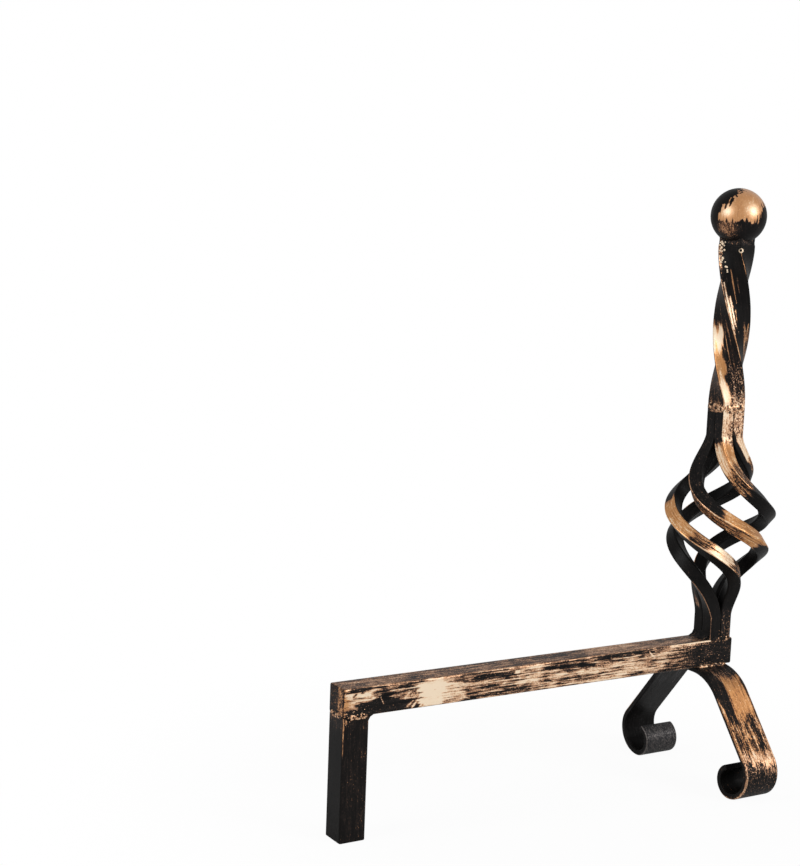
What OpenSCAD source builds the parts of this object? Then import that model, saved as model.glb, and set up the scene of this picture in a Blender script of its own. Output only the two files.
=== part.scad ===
// Andiron for an open hearth, in millimetres, +Z up.
// A square log bar lies on one rear leg and two scrolled front legs. The upright at its front is a bundle
// of four square rods, opened into a twisted basket, with a twisted bar welded on it and a ball on top.
// X runs across the hearth and +Y to the back of the fire. The origin is the middle of the footprint.

/* [Log bar and rear leg] */
// Side of the square bar of the log bar, the rear leg and the twisted bar
bar_s = 20; // [16:0.5:26]
// Radius of that bar's long edges
bar_edge_r = 1.2; // [0.4:0.1:3]
// Length of the log bar over both ends
log_bar_l = 338; // [260:1:460]
// Height of the log bar's underside over the hearth
log_bar_h = 88; // [78:1:120]

/* [Front legs] */
// Width of the flat strap
strap_w = 30; // [16:0.5:36]
// Thickness of the flat strap
strap_t = 4; // [2.5:0.5:6]
// Distance of the strap's front edge behind the log bar's front end
strap_setback = 4.5; // [0:0.5:12]
// Flat length of each strap under the log bar, counted from the middle
seat_l = 7; // [4:0.5:12]
// Radius of the bend beside the seat, to the strap's middle line
crown_r = 35; // [26:0.5:44]
// Reach of a leg, from the middle to its outermost point
leg_reach = 74; // [64:1:96]
// Radius of the scroll's outer bend, to the strap's middle line
scroll_r = 18; // [14:0.5:22]
// Radius of the curl under the scroll, to the strap's middle line
curl_r = 10.7; // [8:0.1:14]
// Turn of the curl after the strap has met the hearth, in degrees
curl_turn = 162; // [90:1:200]

/* [Basket] */
// Ledge of the log bar's front end that stands out in front of the upright
post_setback = 2; // [1:0.5:10]
// Side of each square rod
rod_s = 10; // [7:0.5:12]
// Width of the bevel along the rods' edges
rod_bevel = 0.6; // [0.3:0.1:2]
// Gap between the rods where they stand side by side
rod_gap = 0.2; // [0.1:0.05:0.5]
// Straight length of the bundle below the basket
foot_l = 17.5; // [10:0.5:40]
// Height of the basket
basket_l = 137.5; // [110:0.5:190]
// Straight length of the bundle above the basket
neck_l = 21; // [10:0.5:40]
// Radius of the basket at its widest, to the rods' middle lines
basket_r = 36; // [26:0.5:44]
// Roundness of the bulge: 1 follows a squared sine, less is fuller
basket_round = 0.83; // [0.65:0.01:1.2]
// Height of the widest place over the middle, as a share of a quarter of the height
basket_lift = 0.1; // [-0.3:0.05:0.3]
// Turn of the rods from the foot to the neck, in degrees
basket_turn = 273; // [200:1:330]
// Extra speed of that turn halfway up, as a share of the mean
basket_rush = 0.4; // [0:0.05:0.8]

/* [Twisted bar and ball] */
// Length of the twisted bar
twisted_l = 121.5; // [80:0.5:180]
// Straight stub at each end of the twisted bar
stub_l = 5; // [4:0.5:12]
// Turn of the twisted bar from end to end, in degrees
twisted_turn = 160; // [90:1:270]
// Diameter of the ball
ball_d = 41; // [30:0.5:60]

/* [Welds] */
// Width of the weld bead round the collar
collar_weld_w = 7; // [4:0.5:8]
// Height of the weld bead round the collar
collar_weld_h = 1.2; // [0.8:0.1:2.5]
// Width of the dressed seams at the ends of the log bar
seam_w = 5; // [3:0.5:7]
// Height of the dressed seams
seam_h = 0.7; // [0.4:0.1:1.5]
// Leg of the fillet weld in the inner corner of the rear leg
leg_fillet_s = 2.5; // [2:0.5:6]
// Leg of the fillet weld behind the upright's foot
post_fillet_s = 4; // [2:0.5:6]
// Radius of the beads between the log bar and the front legs
leg_weld_r = 3; // [2:0.5:4.5]
// Reach of the weld under the ball, from the axis towards the bar's corners
ball_weld_reach = 12.5; // [10:0.5:15]
// Thickness of the collar bead at its upper and lower edge
collar_rim = 0.3; // [0.2:0.1:0.6]
// How much the collar bead's corners are cut back
collar_chamfer = 1.4; // [1.1:0.1:1.8]
// Clearance between a weld bead and the pieces that it joins
weld_gap = 0.15; // [0.05:0.05:0.3]

/* [Hidden] */
$fn = 96;

iron = "#2c2b2d";
copper = "#a56b42";
pale_copper = "#d9b48c";

// Flat width of the bar's faces, between its rounded edges
bar_flat = bar_s - 2 * bar_edge_r;

// The bundle: its rods' distance from the axis, its width over the rods, and the heights of its ends
bundle_r = (rod_s + rod_gap) / sqrt(2);
bundle_w = 2 * rod_s + rod_gap;
bundle_z = log_bar_h + bar_s;
bundle_l = foot_l + basket_l + neck_l;
twisted_z = bundle_z + bundle_l;
twisted_top_z = twisted_z + twisted_l;
ball_z = twisted_top_z + weld_gap + ball_d / 2;

// The basket bulges further forward than the log bar does, and the footprint's middle follows from it
basket_reach = basket_r + rod_s / sqrt(2);
post_inset = post_setback + bundle_w / 2;
front_y = (basket_reach - post_inset - log_bar_l) / 2;
post_y = front_y + post_inset;
rear_y = front_y + log_bar_l;
strap_y = front_y + strap_setback;

// Bends of a front leg, as x and z of their centres: the crown, the scroll and the curl within it.
// The straight run between crown and scroll touches both, and slopes down by leg_slope.
crown_c = [seat_l, log_bar_h - strap_t / 2 - crown_r];
scroll_c = [leg_reach - strap_t / 2 - scroll_r, strap_t / 2 + scroll_r];
curl_c = [scroll_c[0], strap_t / 2 + curl_r];
bend_span = norm(scroll_c - crown_c);
span_rise = atan2(scroll_c[1] - crown_c[1], scroll_c[0] - crown_c[0]);
leg_slope = asin((crown_r - scroll_r) / bend_span) - span_rise;

// Degrees between the points along a bend
bend_step = 4;

// Degrees that each rod of the basket stands off an even spacing at its middle, as opened by hand
rod_wander = [-3, -7, 4, 5];

// Stretches of the swept bars: along the basket, along the twist and round a rounded corner
basket_steps = 64;
twist_steps = 40;
corner_steps = 3;

// ---- Shapes that the pieces share ----

// Square with rounded corners of radius r
module rounded_square(side, r) {
    flat = side - 2 * r;
    square([side, flat], center = true);
    square([flat, side], center = true);
    for (x = [-flat / 2, flat / 2], y = [-flat / 2, flat / 2]) translate([x, y]) circle(r);
}

// Cross-section of the square bar
module bar_section() {
    rounded_square(bar_s, bar_edge_r);
}

// Skin over a list of rings, each one a closed loop of the same number of points, from the lowest up
module skin(rings) {
    n = len(rings[0]);
    last = len(rings) - 1;
    sides = [
        for (i = [0:last - 1], j = [0:n - 1])
            let (a = i * n + j, b = i * n + (j + 1) % n)
            each [[a, a + n, b + n], [a, b + n, b]]
    ];
    ends = [[for (j = [0:n - 1]) j], [for (j = [n - 1:-1:0]) last * n + j]];
    polyhedron(points = [for (ring = rings) each ring], faces = concat(sides, ends), convexity = 10);
}

// Radius of a low round cap, w wide and h proud
function cap_radius(w, h) = (pow(h, 2) + pow(w / 2, 2)) / (2 * h);

// Section of a weld bead that lies on a face
module bead_section(w, h) {
    cap_r = cap_radius(w, h);
    intersection() {
        translate([h - cap_r, 0]) circle(cap_r);
        translate([0, -w / 2]) square([h, w]);
    }
}

// Straight weld beads of length l on the sides of an upright square of this half width.
// Side 0 faces +X, side 1 faces +Y, and so on round.
module side_beads(half, l, w, h, sides) {
    for (side = sides) {
        rotate([90, 0, 90 * side]) {
            translate([half, 0, 0]) linear_extrude(l, center = true) bead_section(w, h);
        }
    }
}

// A quarter-round fillet along X, of leg s, in the corner between a wall facing +Y and a floor facing +Z
module fillet_weld(l, s) {
    rotate([90, 0, 90]) linear_extrude(l, center = true) intersection() {
        circle(s);
        square(s);
    }
}

// ---- Log bar and rear leg ----

module log_bar() {
    color(copper) translate([0, front_y, log_bar_h + bar_s / 2]) {
        rotate([-90, 0, 0]) linear_extrude(log_bar_l) bar_section();
    }
}

module rear_leg() {
    color(iron) translate([0, rear_y - bar_s / 2, 0]) linear_extrude(log_bar_h) bar_section();
}

// Dressed seams on the leg's three outer sides, and a fillet in its inner corner
module rear_leg_weld() {
    color(pale_copper) translate([0, rear_y - bar_s / 2, log_bar_h]) {
        side_beads(bar_s / 2 + weld_gap, bar_flat, seam_w, seam_h, [0, 1, 2]);
        translate([0, -bar_s / 2 - weld_gap, -weld_gap]) rotate([180, 0, 0]) fillet_weld(bar_flat, leg_fillet_s);
    }
}

// ---- Front legs ----

// Points of a bend about centre c, from one bearing down to a lower one
function bend(c, r, from, to) =
    let (steps = ceil((from - to) / bend_step))
    [for (i = [0:steps]) let (a = from + (to - from) * i / steps) c + r * [cos(a), sin(a)]];

// One side of the strap, seen edge on from the front, d outside its middle line.
// The curl starts a step late, at the point after the one that it shares with the scroll.
function strap_side(d) = concat(
    [[0, crown_c[1] + crown_r + d]],
    bend(crown_c, crown_r + d, 90, 90 - leg_slope),
    bend(scroll_c, scroll_r + d, 90 - leg_slope, -90),
    bend(curl_c, curl_r + d, -90 - bend_step, -90 - curl_turn)
);

// The right leg: the strap's two sides closed into one outline, extruded over its width
module right_strap() {
    outer = strap_side(strap_t / 2);
    inner = strap_side(-strap_t / 2);
    outline = concat(outer, [for (i = [len(inner) - 1:-1:0]) inner[i]]);
    translate([0, strap_y + strap_w, 0]) rotate([90, 0, 0]) linear_extrude(strap_w) polygon(outline);
}

module right_front_leg() {
    color(iron) right_strap();
}

module left_front_leg() {
    color(copper) mirror([1, 0, 0]) right_strap();
}

// A bead on each side of the log bar, in the notch over the strap's crown bend
module front_leg_weld() {
    color(pale_copper) translate([0, strap_y + strap_w - weld_gap, 0]) for (hand = [0, 1]) {
        mirror([hand, 0, 0]) rotate([90, 0, 0]) linear_extrude(strap_w - 2 * weld_gap) difference() {
            translate([bar_s / 2 + weld_gap, log_bar_h]) circle(leg_weld_r);
            translate([bar_s / 2 + weld_gap - 2 * leg_weld_r, log_bar_h - leg_weld_r]) {
                square([2 * leg_weld_r, 2 * leg_weld_r]);
            }
            translate(crown_c) circle(crown_r + strap_t / 2 + weld_gap);
        }
    }
}

// ---- Basket ----

// Share of the basket's height that lies below z, from 0 at its foot to 1 at its neck
function basket_u(z) = min(1, max(0, (z - foot_l) / basket_l));

// Distance of the rods' middle lines from the axis: out from the bundle and back, as a rounded sine
function rod_reach(u) =
    let (v = u - basket_lift * u * (1 - u))
    bundle_r + (basket_r - bundle_r) * pow(pow(sin(180 * v), 2), basket_round);

// Bearing of rod k about the axis: it falls as the rods rise, fastest halfway up
function rod_bearing(u, k) =
    90 * k - 45
    - basket_turn * (u - basket_rush * sin(360 * u) / (2 * PI))
    + rod_wander[k] * pow(sin(180 * u), 2);

function rod_point(z, k) =
    let (u = basket_u(z), r = rod_reach(u), a = rod_bearing(u, k))
    [r * cos(a), r * sin(a), z];

// Ring of rod k at height z: a bevelled square, square to the rod, with one corner facing outwards
function rod_ring(z, k) =
    let (
        chord = rod_point(z + 0.5, k) - rod_point(z - 0.5, k),
        along = chord / norm(chord),
        a = rod_bearing(basket_u(z), k),
        radial = [cos(a), sin(a), 0],
        lean = radial - (radial * along) * along,
        out = lean / norm(lean),
        across = cross(along, out),
        corners = [out, across, -out, -across]
    )
    [
        for (i = [0:3], step = [3, 1])
            rod_point(z, k)
            + corners[i] * rod_s / sqrt(2)
            + (corners[(i + step) % 4] - corners[i]) * rod_bevel / sqrt(2)
    ];

module basket_rod(k) {
    heights = concat(
        [0], [for (i = [0:basket_steps]) foot_l + basket_l * i / basket_steps], [bundle_l]
    );
    color(k % 2 == 0 ? iron : copper) translate([0, post_y, bundle_z]) {
        skin([for (z = heights) rod_ring(z, k)]);
    }
}

// Dressed seams on both sides of the bundle's foot, a fillet behind it on the log bar, and in front of it
// one that fits on the ledge
module post_weld() {
    half = max(bar_s, bundle_w) / 2 + weld_gap;
    wall_y = bundle_w / 2 + weld_gap;
    ledge_fillet_s = min(post_fillet_s, post_setback - 2 * weld_gap);
    color(pale_copper) translate([0, post_y, bundle_z]) {
        side_beads(half, bar_flat, seam_w, seam_h, [0, 2]);
        translate([0, wall_y, weld_gap]) fillet_weld(bar_flat, post_fillet_s);
        mirror([0, 1, 0]) translate([0, wall_y, weld_gap]) fillet_weld(bar_flat, ledge_fillet_s);
    }
}

// ---- Twisted bar and ball ----

// Bearing of the twisted bar's section at height z over its lower end, which lines up with the bundle
function twisted_bearing(z) =
    -basket_turn - twisted_turn * min(1, max(0, (z - stub_l) / (twisted_l - 2 * stub_l)));

// Ring of the twisted bar at height z: a square with rounded corners
function twisted_ring(z) = [
    for (corner = [0:3], i = [0:corner_steps])
        let (
            a = 90 * corner + 90 * i / corner_steps,
            c = 90 * corner + 45 + twisted_bearing(z),
            flat = (bar_s / 2 - bar_edge_r) * sqrt(2)
        )
        [
            flat * cos(c) + bar_edge_r * cos(a + twisted_bearing(z)),
            flat * sin(c) + bar_edge_r * sin(a + twisted_bearing(z)),
            z
        ]
];

module twisted_bar() {
    run = twisted_l - 2 * stub_l;
    heights = concat(
        [0], [for (i = [0:twist_steps]) stub_l + run * i / twist_steps], [twisted_l]
    );
    color(copper) translate([0, post_y, twisted_z]) skin([for (z = heights) twisted_ring(z)]);
}

// The collar's bead seen from one side: a band with crowned ends, reach out from the axis
module crowned_band(reach) {
    cap_r = cap_radius(collar_weld_w, collar_weld_h);
    middle = reach - cap_r;
    intersection() {
        square([4 * reach, collar_weld_w], center = true);
        union() {
            square([2 * middle, 2 * cap_r], center = true);
            for (x = [-middle, middle]) translate([x, 0]) circle(cap_r);
        }
    }
}

// Proud bead all round the joint of the bundle and the twisted bar: crowned on its four sides and its
// four corners, and hollow where the bars are
module collar_weld() {
    half = max(bar_s, bundle_w) / 2 + weld_gap;
    hole_corner_r = bar_edge_r + weld_gap;
    side_reach = half + collar_rim + collar_weld_h;
    corner_reach = side_reach * sqrt(2) - collar_chamfer;
    span = 4 * half;
    color(pale_copper) translate([0, post_y, twisted_z]) rotate(-basket_turn) difference() {
        intersection_for (turn = [0, 45, 90, 135]) {
            reach = turn % 90 == 0 ? side_reach : corner_reach;
            rotate([90, 0, turn]) linear_extrude(span, center = true) crowned_band(reach);
        }
        linear_extrude(2 * collar_weld_w, center = true) rounded_square(2 * half, hole_corner_r);
    }
}

module ball_finial() {
    color(copper) translate([0, post_y, ball_z]) sphere(ball_d / 2);
}

// Weld that fills the wedge between the twisted bar's top face and the ball, trimmed to the bar's section
module ball_weld() {
    core_r = bar_s / 4;
    wedge_h = ball_d / 2 - sqrt(pow(ball_d / 2, 2) - pow(ball_weld_reach, 2));
    color(pale_copper) translate([0, post_y, twisted_top_z + weld_gap]) intersection() {
        rotate(twisted_bearing(twisted_l)) linear_extrude(wedge_h) bar_section();
        rotate_extrude() difference() {
            translate([core_r, 0]) square([ball_weld_reach - core_r, wedge_h]);
            translate([0, ball_d / 2]) circle(ball_d / 2 + weld_gap);
        }
    }
}

log_bar();
rear_leg();
left_front_leg();
right_front_leg();
basket_rod(0);  // basket_rod_1
basket_rod(1);  // basket_rod_2
basket_rod(2);  // basket_rod_3
basket_rod(3);  // basket_rod_4
twisted_bar();
ball_finial();
rear_leg_weld();
front_leg_weld();
post_weld();
collar_weld();
ball_weld();
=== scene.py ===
"""Andiron of square bar and flat strap, welded, painted black and dry-brushed with copper.

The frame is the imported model's, +Z up, with the upright at the front, towards -Y. Camera, floor and lamps are
placed in metres. The andiron's own sizes are in millimetres, and its meshes are turned into metres when made.
"""

import bpy
import numpy as np
from mathutils import Matrix, Vector


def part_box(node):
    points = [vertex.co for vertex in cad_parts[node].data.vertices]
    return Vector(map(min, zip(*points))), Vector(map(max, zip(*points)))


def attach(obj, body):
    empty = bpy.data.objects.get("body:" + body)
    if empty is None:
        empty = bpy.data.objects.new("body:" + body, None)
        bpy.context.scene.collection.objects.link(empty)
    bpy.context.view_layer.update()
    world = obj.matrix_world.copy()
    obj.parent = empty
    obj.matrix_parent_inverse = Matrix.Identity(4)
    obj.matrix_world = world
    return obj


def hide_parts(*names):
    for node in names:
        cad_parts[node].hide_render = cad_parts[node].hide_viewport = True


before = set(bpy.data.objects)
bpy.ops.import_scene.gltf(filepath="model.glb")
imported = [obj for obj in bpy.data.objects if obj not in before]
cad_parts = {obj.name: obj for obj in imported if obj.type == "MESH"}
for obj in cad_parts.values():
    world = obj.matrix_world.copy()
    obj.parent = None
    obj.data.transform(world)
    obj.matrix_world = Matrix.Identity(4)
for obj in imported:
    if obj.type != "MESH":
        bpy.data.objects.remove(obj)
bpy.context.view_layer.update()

# ---- Camera ----
# It stands behind the andiron and to its left, 1.4 m from the upright and just over the height of the ball,
# with a short tele lens, tilted down a little and held a touch off level.
camera_place = Vector((-1.0165, 0.7576, 0.4594))
camera_bearing, camera_tilt, camera_roll = np.radians([238.831, 8.692, -2.159])
picture_long_side = 866
focal_length_px = 1800

back = Vector((
    np.sin(camera_bearing) * np.cos(camera_tilt),
    -np.cos(camera_bearing) * np.cos(camera_tilt),
    np.sin(camera_tilt),
))
level_right = (-back).cross(Vector((0, 0, 1))).normalized()
level_up = level_right.cross(-back)
camera_right = level_right * np.cos(camera_roll) - level_up * np.sin(camera_roll)
camera_up = level_right * np.sin(camera_roll) + level_up * np.cos(camera_roll)
camera = bpy.data.objects.new("camera", bpy.data.cameras.new("camera"))
bpy.context.scene.collection.objects.link(camera)
camera.data.sensor_width = 36
camera.data.lens = camera.data.sensor_width * focal_length_px / picture_long_side
camera.data.clip_start, camera.data.clip_end = 0.05, 50
camera.matrix_world = (
    Matrix.Translation(camera_place) @ Matrix((camera_right, camera_up, back)).transposed().to_4x4()
)
bpy.context.scene.camera = camera

# ---- Floor and light ----
# A pale studio floor that runs out to white, and two large soft lamps, one to each side of the camera,
# over an even white room. Together they light a surface to about the colour that it is painted.
floor_half = 6.0
floor_grey = (0.86, 0.86, 0.86, 1)
floor_shadow_core, floor_shadow_reach = 0.12, 0.40
floor_white_near = 0.95
room_level = 0.38
mirrored_level = 0.55
lamp_size = 0.75
lamp_distance = 1.7
lamp_height = 0.75
lamp_swing = 58
lamp_watts = {"right_lamp": 18.0, "left_lamp": 14.0}
lamp_aim = Vector((0, -0.05, 0.2))

bpy.context.scene.view_settings.view_transform = "Standard"


def linked(tree, kind, **settings):
    """Adds a shader node. A setting named as one of its properties sets that. Any other is an input, by name
    or as an underscore and its number, and gives its value or the socket that is linked to it."""
    made = tree.nodes.new(kind)
    for name, value in settings.items():
        if name in made.bl_rna.properties:
            setattr(made, name, value)
            continue
        key = int(name[1:]) if name[0] == "_" else name.replace("_", " ")
        if isinstance(value, bpy.types.NodeSocket):
            tree.links.new(value, made.inputs[key])
        else:
            made.inputs[key].default_value = value
    return made


def room():
    """World: white where the camera looks, and plain greys for what the metal mirrors and for other light."""
    world = bpy.data.worlds.new("room")
    world.use_nodes = True
    tree = world.node_tree
    tree.nodes.clear()
    rays = linked(tree, "ShaderNodeLightPath").outputs
    unseen = linked(tree, "ShaderNodeMapRange", Value=rays["Is Glossy Ray"], To_Min=room_level,
                    To_Max=mirrored_level)
    strength = linked(tree, "ShaderNodeMapRange", Value=rays["Is Camera Ray"], To_Min=unseen.outputs[0],
                      To_Max=1.0)
    light = linked(tree, "ShaderNodeBackground", Color=(1, 1, 1, 1), Strength=strength.outputs[0])
    linked(tree, "ShaderNodeOutputWorld", Surface=light.outputs[0])
    bpy.context.scene.world = world


def floor_finish():
    """Matt pale grey that keeps the object's shadow near it, and that the camera sees fade to white."""
    material = bpy.data.materials.new("studio_floor")
    material.use_nodes = True
    tree = material.node_tree
    tree.nodes.clear()
    place = linked(tree, "ShaderNodeTexCoord").outputs["Object"]
    distance = linked(tree, "ShaderNodeVectorMath", operation="LENGTH", _0=place)
    fade = linked(tree, "ShaderNodeMapRange", interpolation_type="SMOOTHSTEP",
                  Value=distance.outputs["Value"], From_Min=floor_shadow_core, From_Max=floor_shadow_reach,
                  To_Min=floor_white_near, To_Max=1.0)
    rays = linked(tree, "ShaderNodeLightPath").outputs
    glow = linked(tree, "ShaderNodeMath", operation="MULTIPLY", _0=fade.outputs[0], _1=rays["Is Camera Ray"])
    matt = linked(tree, "ShaderNodeBsdfDiffuse", Color=floor_grey)
    white = linked(tree, "ShaderNodeEmission", Color=(1, 1, 1, 1), Strength=1.0)
    mixed = linked(tree, "ShaderNodeMixShader", _0=glow.outputs[0], _1=matt.outputs[0], _2=white.outputs[0])
    linked(tree, "ShaderNodeOutputMaterial", Surface=mixed.outputs[0])
    return material


room()
floor_mesh = bpy.data.meshes.new("studio_floor")
floor_corners = [(x * floor_half, y * floor_half, 0) for x, y in ((-1, -1), (1, -1), (1, 1), (-1, 1))]
floor_mesh.from_pydata(floor_corners, [], [(0, 1, 2, 3)])
floor_mesh.materials.append(floor_finish())
studio_floor = bpy.data.objects.new("studio_floor", floor_mesh)
bpy.context.scene.collection.objects.link(studio_floor)

for lamp_name, side in (("right_lamp", 1), ("left_lamp", -1)):
    swing = np.radians(lamp_swing) * side
    towards = Vector((back.x, back.y, 0)).normalized() * np.cos(swing) + level_right * np.sin(swing)
    lamp = bpy.data.objects.new(lamp_name, bpy.data.lights.new(lamp_name, "AREA"))
    bpy.context.scene.collection.objects.link(lamp)
    lamp.data.shape = "SQUARE"
    lamp.data.size = lamp_size
    lamp.data.energy = lamp_watts[lamp_name]
    lamp.location = towards * lamp_distance + Vector((0, 0, lamp_height)) + lamp_aim
    lamp.rotation_mode = "QUATERNION"
    lamp.rotation_quaternion = (lamp.location - lamp_aim).to_track_quat("Z", "Y")

# ---- Log bar ----
# Square mild steel bar, sawn to length, that carries the logs and has the legs and upright welded to it. The
# whole andiron is painted satin black, and copper is then dragged over it with a nearly dry brush, along the
# bar, heaviest where the hand starts its strokes.
mm_per_metre = 1000


def box_of(node):
    """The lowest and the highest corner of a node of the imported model."""
    return [np.array(corner) * mm_per_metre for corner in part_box(node)]


log_bar_low, log_bar_high = box_of("log_bar")
bar_side = log_bar_high[0] - log_bar_low[0]
half_bar = bar_side / 2
bar_l = log_bar_high[1] - log_bar_low[1]
bar_edge_r = 1.3
bar_end_r = 0.8
bar_ring_gap = 0.7


def rise(x, start, end):
    """From 0 at start to 1 at end, eased at both, and flat beyond them."""
    t = np.clip((x - start) / (end - start), 0, 1)
    return t * t * (3 - 2 * t)


def daub(x, start, end, soft):
    """1 between start and end, fading out over the distance soft at each of them."""
    return rise(x, start - soft, start + soft) * (1 - rise(x, end - soft, end + soft))


def unevenness(points, size, seed):
    """Smooth noise from -1 to 1 in space: random values at the corners of cubes of this size, blended
    between. Large primes scramble a corner's place and the seed into a value that looks random."""
    spots = points / size
    cell = np.floor(spots).astype(np.int64)
    t = spots - cell
    t = t * t * (3 - 2 * t)
    total = np.zeros(points.shape[:-1])
    for corner in np.ndindex(2, 2, 2):
        at = cell + np.array(corner)
        mixed = at[..., 0] * 73856093 ^ at[..., 1] * 19349663 ^ at[..., 2] * 83492791 ^ seed * 2654435761
        mixed = (mixed ^ (mixed >> 13)) * 1274126177 & 0xFFFFFFFF
        value = ((mixed ^ (mixed >> 16)) & 0xFFFF) / 32767.5 - 1
        weight = np.prod(np.where(np.array(corner) == 1, t, 1 - t), axis=-1)
        total += value * weight
    return total


# Paint by the amount of copper: bare black, a dusty brown film, copper from dull to bright, and cream.
# Each palette gives the colour at some amounts, and the shader blends between them.
barest, palest = -0.4, 1.4
copper_colours = (
    (-0.40, (0.0040, 0.0036, 0.0035)),
    (0.05, (0.0080, 0.0066, 0.0062)),
    (0.26, (0.0190, 0.0130, 0.0110)),
    (0.38, (0.0480, 0.0270, 0.0190)),
    (0.48, (0.1700, 0.0750, 0.0350)),
    (0.58, (0.4200, 0.1900, 0.0800)),
    (0.80, (0.6000, 0.2800, 0.1050)),
    (1.00, (0.6800, 0.3600, 0.1600)),
    (1.15, (0.8400, 0.5700, 0.3300)),
    (1.35, (0.9200, 0.7400, 0.5400)),
)
peach_colours = (
    (-0.40, (0.0040, 0.0037, 0.0036)),
    (0.05, (0.0090, 0.0080, 0.0077)),
    (0.26, (0.0210, 0.0170, 0.0155)),
    (0.38, (0.0500, 0.0340, 0.0270)),
    (0.50, (0.1350, 0.0750, 0.0510)),
    (0.64, (0.4200, 0.2150, 0.1200)),
    (0.86, (0.7100, 0.4150, 0.2450)),
    (1.08, (0.8600, 0.6200, 0.4150)),
    (1.35, (0.9300, 0.7550, 0.5600)),
)


def turned(brush, quarter):
    """The two places of a point in its section, out of and across the side this many quarter turns on."""
    a, b = brush[..., 1], brush[..., 2]
    return ((a, b), (b, -a), (-a, -b), (-b, a))[quarter]


def painted(copper, streaks, specks, pale):
    """Paint of every point: the amount of copper, how strongly streaks and then specks break it up, and how
    pale it is."""
    return np.stack(np.broadcast_arrays(copper, streaks, specks, pale), -1).astype(float)


def lay_over(paint, layer, where):
    """Lays a layer over the paint, in place, by the share where. A layer gives all four values, or only the
    first ones of them."""
    changed = paint[..., :len(layer)]
    changed += (np.array(layer) - changed) * where[..., None]


# Long bristles and short tufts fray the ends of a coat, and a slow sway bends its sides
bristle_size, tuft_size, sway_size = np.array([[18, 0.9, 0.9], [7, 2.5, 2.5], [8, 3, 3]])
tuft_share, sway_share = 0.5, 0.16
coat_side_soft = 0.1
corner_fade_low, corner_fade_high = 0.8, 0.3
edge_end_soft, edge_fade_in, edge_fade_out = 3.0, 0.3, 0.5
stroke_end_soft, stroke_side_soft = 0.6, 0.35


def on_side(out, half):
    """1 on the flat of a side, fading out over its rounded corners."""
    return rise(out, half - corner_fade_low, half - corner_fade_high)


def coated(brush, half_a, half_b, ground, coats, edges=(), strokes=(), soft=3.0, fray=5.0, seed=60):
    """The paint that the brush left on a bar, from a ground and then coat over coat. A coat's row gives its
    side, start and end along the bar, low and high limit across the side, and layer. An edge's row gives its
    corner, numbered as the side before it, start, end, width and layer. A stroke is a line on one side, and
    its row gives the side, start, end, place across at these two, width and layer. A place across is -1 at
    one corner of the side and 1 at the other. Bristles fray the ends of coats and edges by about fray."""
    paint = painted(*(np.full(brush.shape[:-1], value) for value in ground))
    halves = (half_a, half_b)
    bristles = unevenness(brush, bristle_size, seed) + tuft_share * unevenness(brush, tuft_size, seed + 1)
    along = brush[..., 0] + fray * bristles
    sway = sway_share * unevenness(brush, sway_size, seed + 2)
    for side, start, end, low, high, *layer in coats:
        out, across = turned(brush, side)
        where = on_side(out, halves[side % 2]) * daub(along, start, end, soft)
        place = across / halves[1 - side % 2] + sway
        lay_over(paint, layer, where * daub(place, low, high, coat_side_soft))
    for corner, start, end, width, *layer in edges:
        out, across = turned(brush, corner)
        inset = np.minimum(out - halves[corner % 2], across - halves[1 - corner % 2])
        where = rise(inset, -width - edge_fade_out, -width + edge_fade_in)
        lay_over(paint, layer, where * daub(along, start, end, edge_end_soft))
    for side, start, end, from_across, to_across, width, *layer in strokes:
        out, across = turned(brush, side)
        share = (brush[..., 0] - start) / (end - start)
        middle = (from_across + (to_across - from_across) * share) * halves[1 - side % 2]
        where = on_side(out, halves[side % 2]) * daub(share, 0, 1, stroke_end_soft / abs(end - start))
        lay_over(paint, layer, where * daub(across - middle + sway, -width / 2, width / 2, stroke_side_soft))
    return paint


def square_profile(half_a, half_b, radius, spacing):
    """Outline of a rectangle with rounded corners, anticlockwise, with points about this spacing apart on its
    flats and closer set at the corners."""
    beside_corner = 0.4
    turn = np.radians(np.linspace(0, 90, 5))
    arc = np.stack([np.cos(turn), np.sin(turn)], 1) * radius
    outline = []
    for quarter in range(4):
        c, s = np.round([np.cos(quarter * np.pi / 2), np.sin(quarter * np.pi / 2)])
        wide, tall = (half_a, half_b) if quarter % 2 == 0 else (half_b, half_a)
        flat = tall - radius
        inner = np.linspace(-flat + beside_corner, flat - beside_corner, max(2, int(2 * flat / spacing)))
        side = np.stack([np.full(inner.size, wide), inner], 1)
        corner = arc + [wide - radius, tall - radius]
        part = np.concatenate([side, corner])
        outline.append(np.stack([part[:, 0] * c - part[:, 1] * s, part[:, 0] * s + part[:, 1] * c], 1))
    return np.concatenate(outline)


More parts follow.
